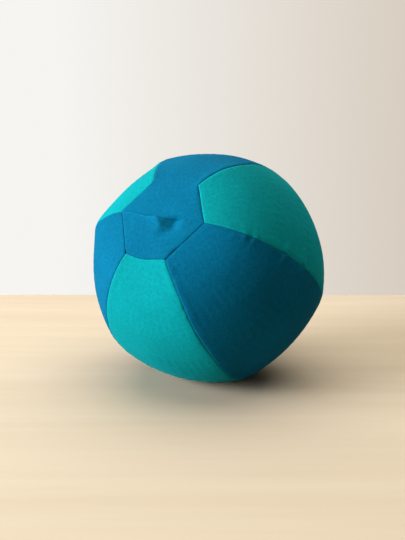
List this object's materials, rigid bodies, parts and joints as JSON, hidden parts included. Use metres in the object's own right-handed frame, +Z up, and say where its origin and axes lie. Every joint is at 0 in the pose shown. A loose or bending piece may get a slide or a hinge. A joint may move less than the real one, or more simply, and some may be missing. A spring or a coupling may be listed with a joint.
{
  "type": "cloth covered balloon ball",
  "caption": "Light play and juggling ball: a sewn cotton cover of alternating gores with hexagonal end caps, closed over a balloon through an overlapping slit.",
  "frame": {"origin": "on the surface that the ball lies on, under the middle of the ball", "axes": "+Z up; -Y towards the side from which the opening cap is seen; the cover's own axis leans 54 degrees from +Z"},
  "size_m": [0.252, 0.2526, 0.2474],
  "materials": {
    "teal_cotton": "matte plain weave",
    "petrol_blue_cotton": "matte plain weave",
    "teal_thread": "polyester sewing thread",
    "blue_thread": "polyester sewing thread",
    "balloon_latex": "stretched latex, satin"
  },
  "bodies": {
    "root": {"gore_teal_1": "teal_cotton", "gore_blue_1": "petrol_blue_cotton", "gore_teal_2": "teal_cotton", "gore_blue_2_with_underlap": "petrol_blue_cotton", "gore_teal_3": "teal_cotton", "gore_blue_3": "petrol_blue_cotton", "far_end_cap": "petrol_blue_cotton", "gore_seam_thread_1": "teal_thread", "gore_seam_thread_2": "teal_thread", "gore_seam_thread_3": "teal_thread", "gore_seam_thread_4": "teal_thread", "gore_seam_thread_5": "teal_thread", "gore_seam_thread_6": "teal_thread", "opening_seam_thread": "blue_thread", "far_cap_seam_thread": "blue_thread"},
    "flap": {"opening_flap": "petrol_blue_cotton", "flap_hem_thread": "blue_thread"},
    "balloon": {"balloon": "balloon_latex", "balloon_knot": "balloon_latex"}
  },
  "joints": [
    {"name": "flap_lift", "type": "hinge", "parent": "root", "child": "flap", "pos_m": [-0.05887, -0.09836, 0.15312], "axis": [0.8581, -0.5135, 0], "range_deg": [0, 25]},
    {"name": "balloon_turn", "type": "hinge", "parent": "root", "child": "balloon", "pos_m": [0, 0, 0.1224], "axis": [-0.4155, -0.6942, 0.5878], "range_deg": [-10, 10]}
  ]
}
